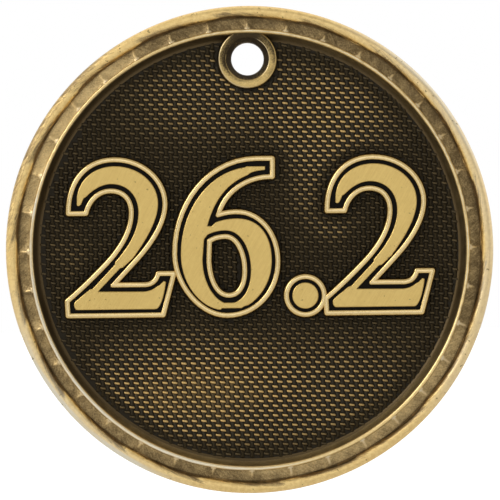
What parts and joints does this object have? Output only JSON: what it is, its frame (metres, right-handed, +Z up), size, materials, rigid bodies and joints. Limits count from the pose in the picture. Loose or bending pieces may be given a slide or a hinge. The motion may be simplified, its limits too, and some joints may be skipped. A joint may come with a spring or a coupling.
{
  "type": "award medal",
  "caption": "Round cast award medal with a rope-edged rim, fluted band, woven-look field, raised race-distance numerals and a ribbon hole at the top.",
  "frame": {"origin": "middle of the ribbon hole, half way through the medal's thickness", "axes": "+Z up as the medal hangs, front facing -Y, +X to the right as seen from the front; the ribbon hole runs along Y"},
  "size_m": [0.0508, 0.003, 0.0508],
  "materials": {
    "antique_gold_back": "antique gold plate, satin, lightly darkened",
    "antique_gold_rim": "antique gold plate, rubbed bright on the rope lobes, brown in their folds",
    "bronzed_band": "antique gold plate, brown patina, rubbed bright on the flute ridges",
    "polished_lip": "polished crest over a dark inner wall",
    "dark_patina_field": "woven texture under dark patina, rubbed to gold on its high threads",
    "antique_gold_eyelet": "antique gold plate, satin, dark in the countersink",
    "bright_gold_border": "polished gold bead with a dark groove inside it",
    "brushed_gold_face": "brushed gold with fine slanting scratches"
  },
  "bodies": {
    "root": {"medal_body": "antique_gold_back", "outer_rim": "antique_gold_rim", "fluted_band": "bronzed_band", "inner_lip": "polished_lip", "weave_field": "dark_patina_field", "ribbon_eyelet": "antique_gold_eyelet", "left_two_border": "bright_gold_border", "left_two_face": "brushed_gold_face", "six_border": "bright_gold_border", "six_face": "brushed_gold_face", "point_border": "bright_gold_border", "point_face": "brushed_gold_face", "right_two_border": "bright_gold_border", "right_two_face": "brushed_gold_face"}
  },
  "joints": []
}
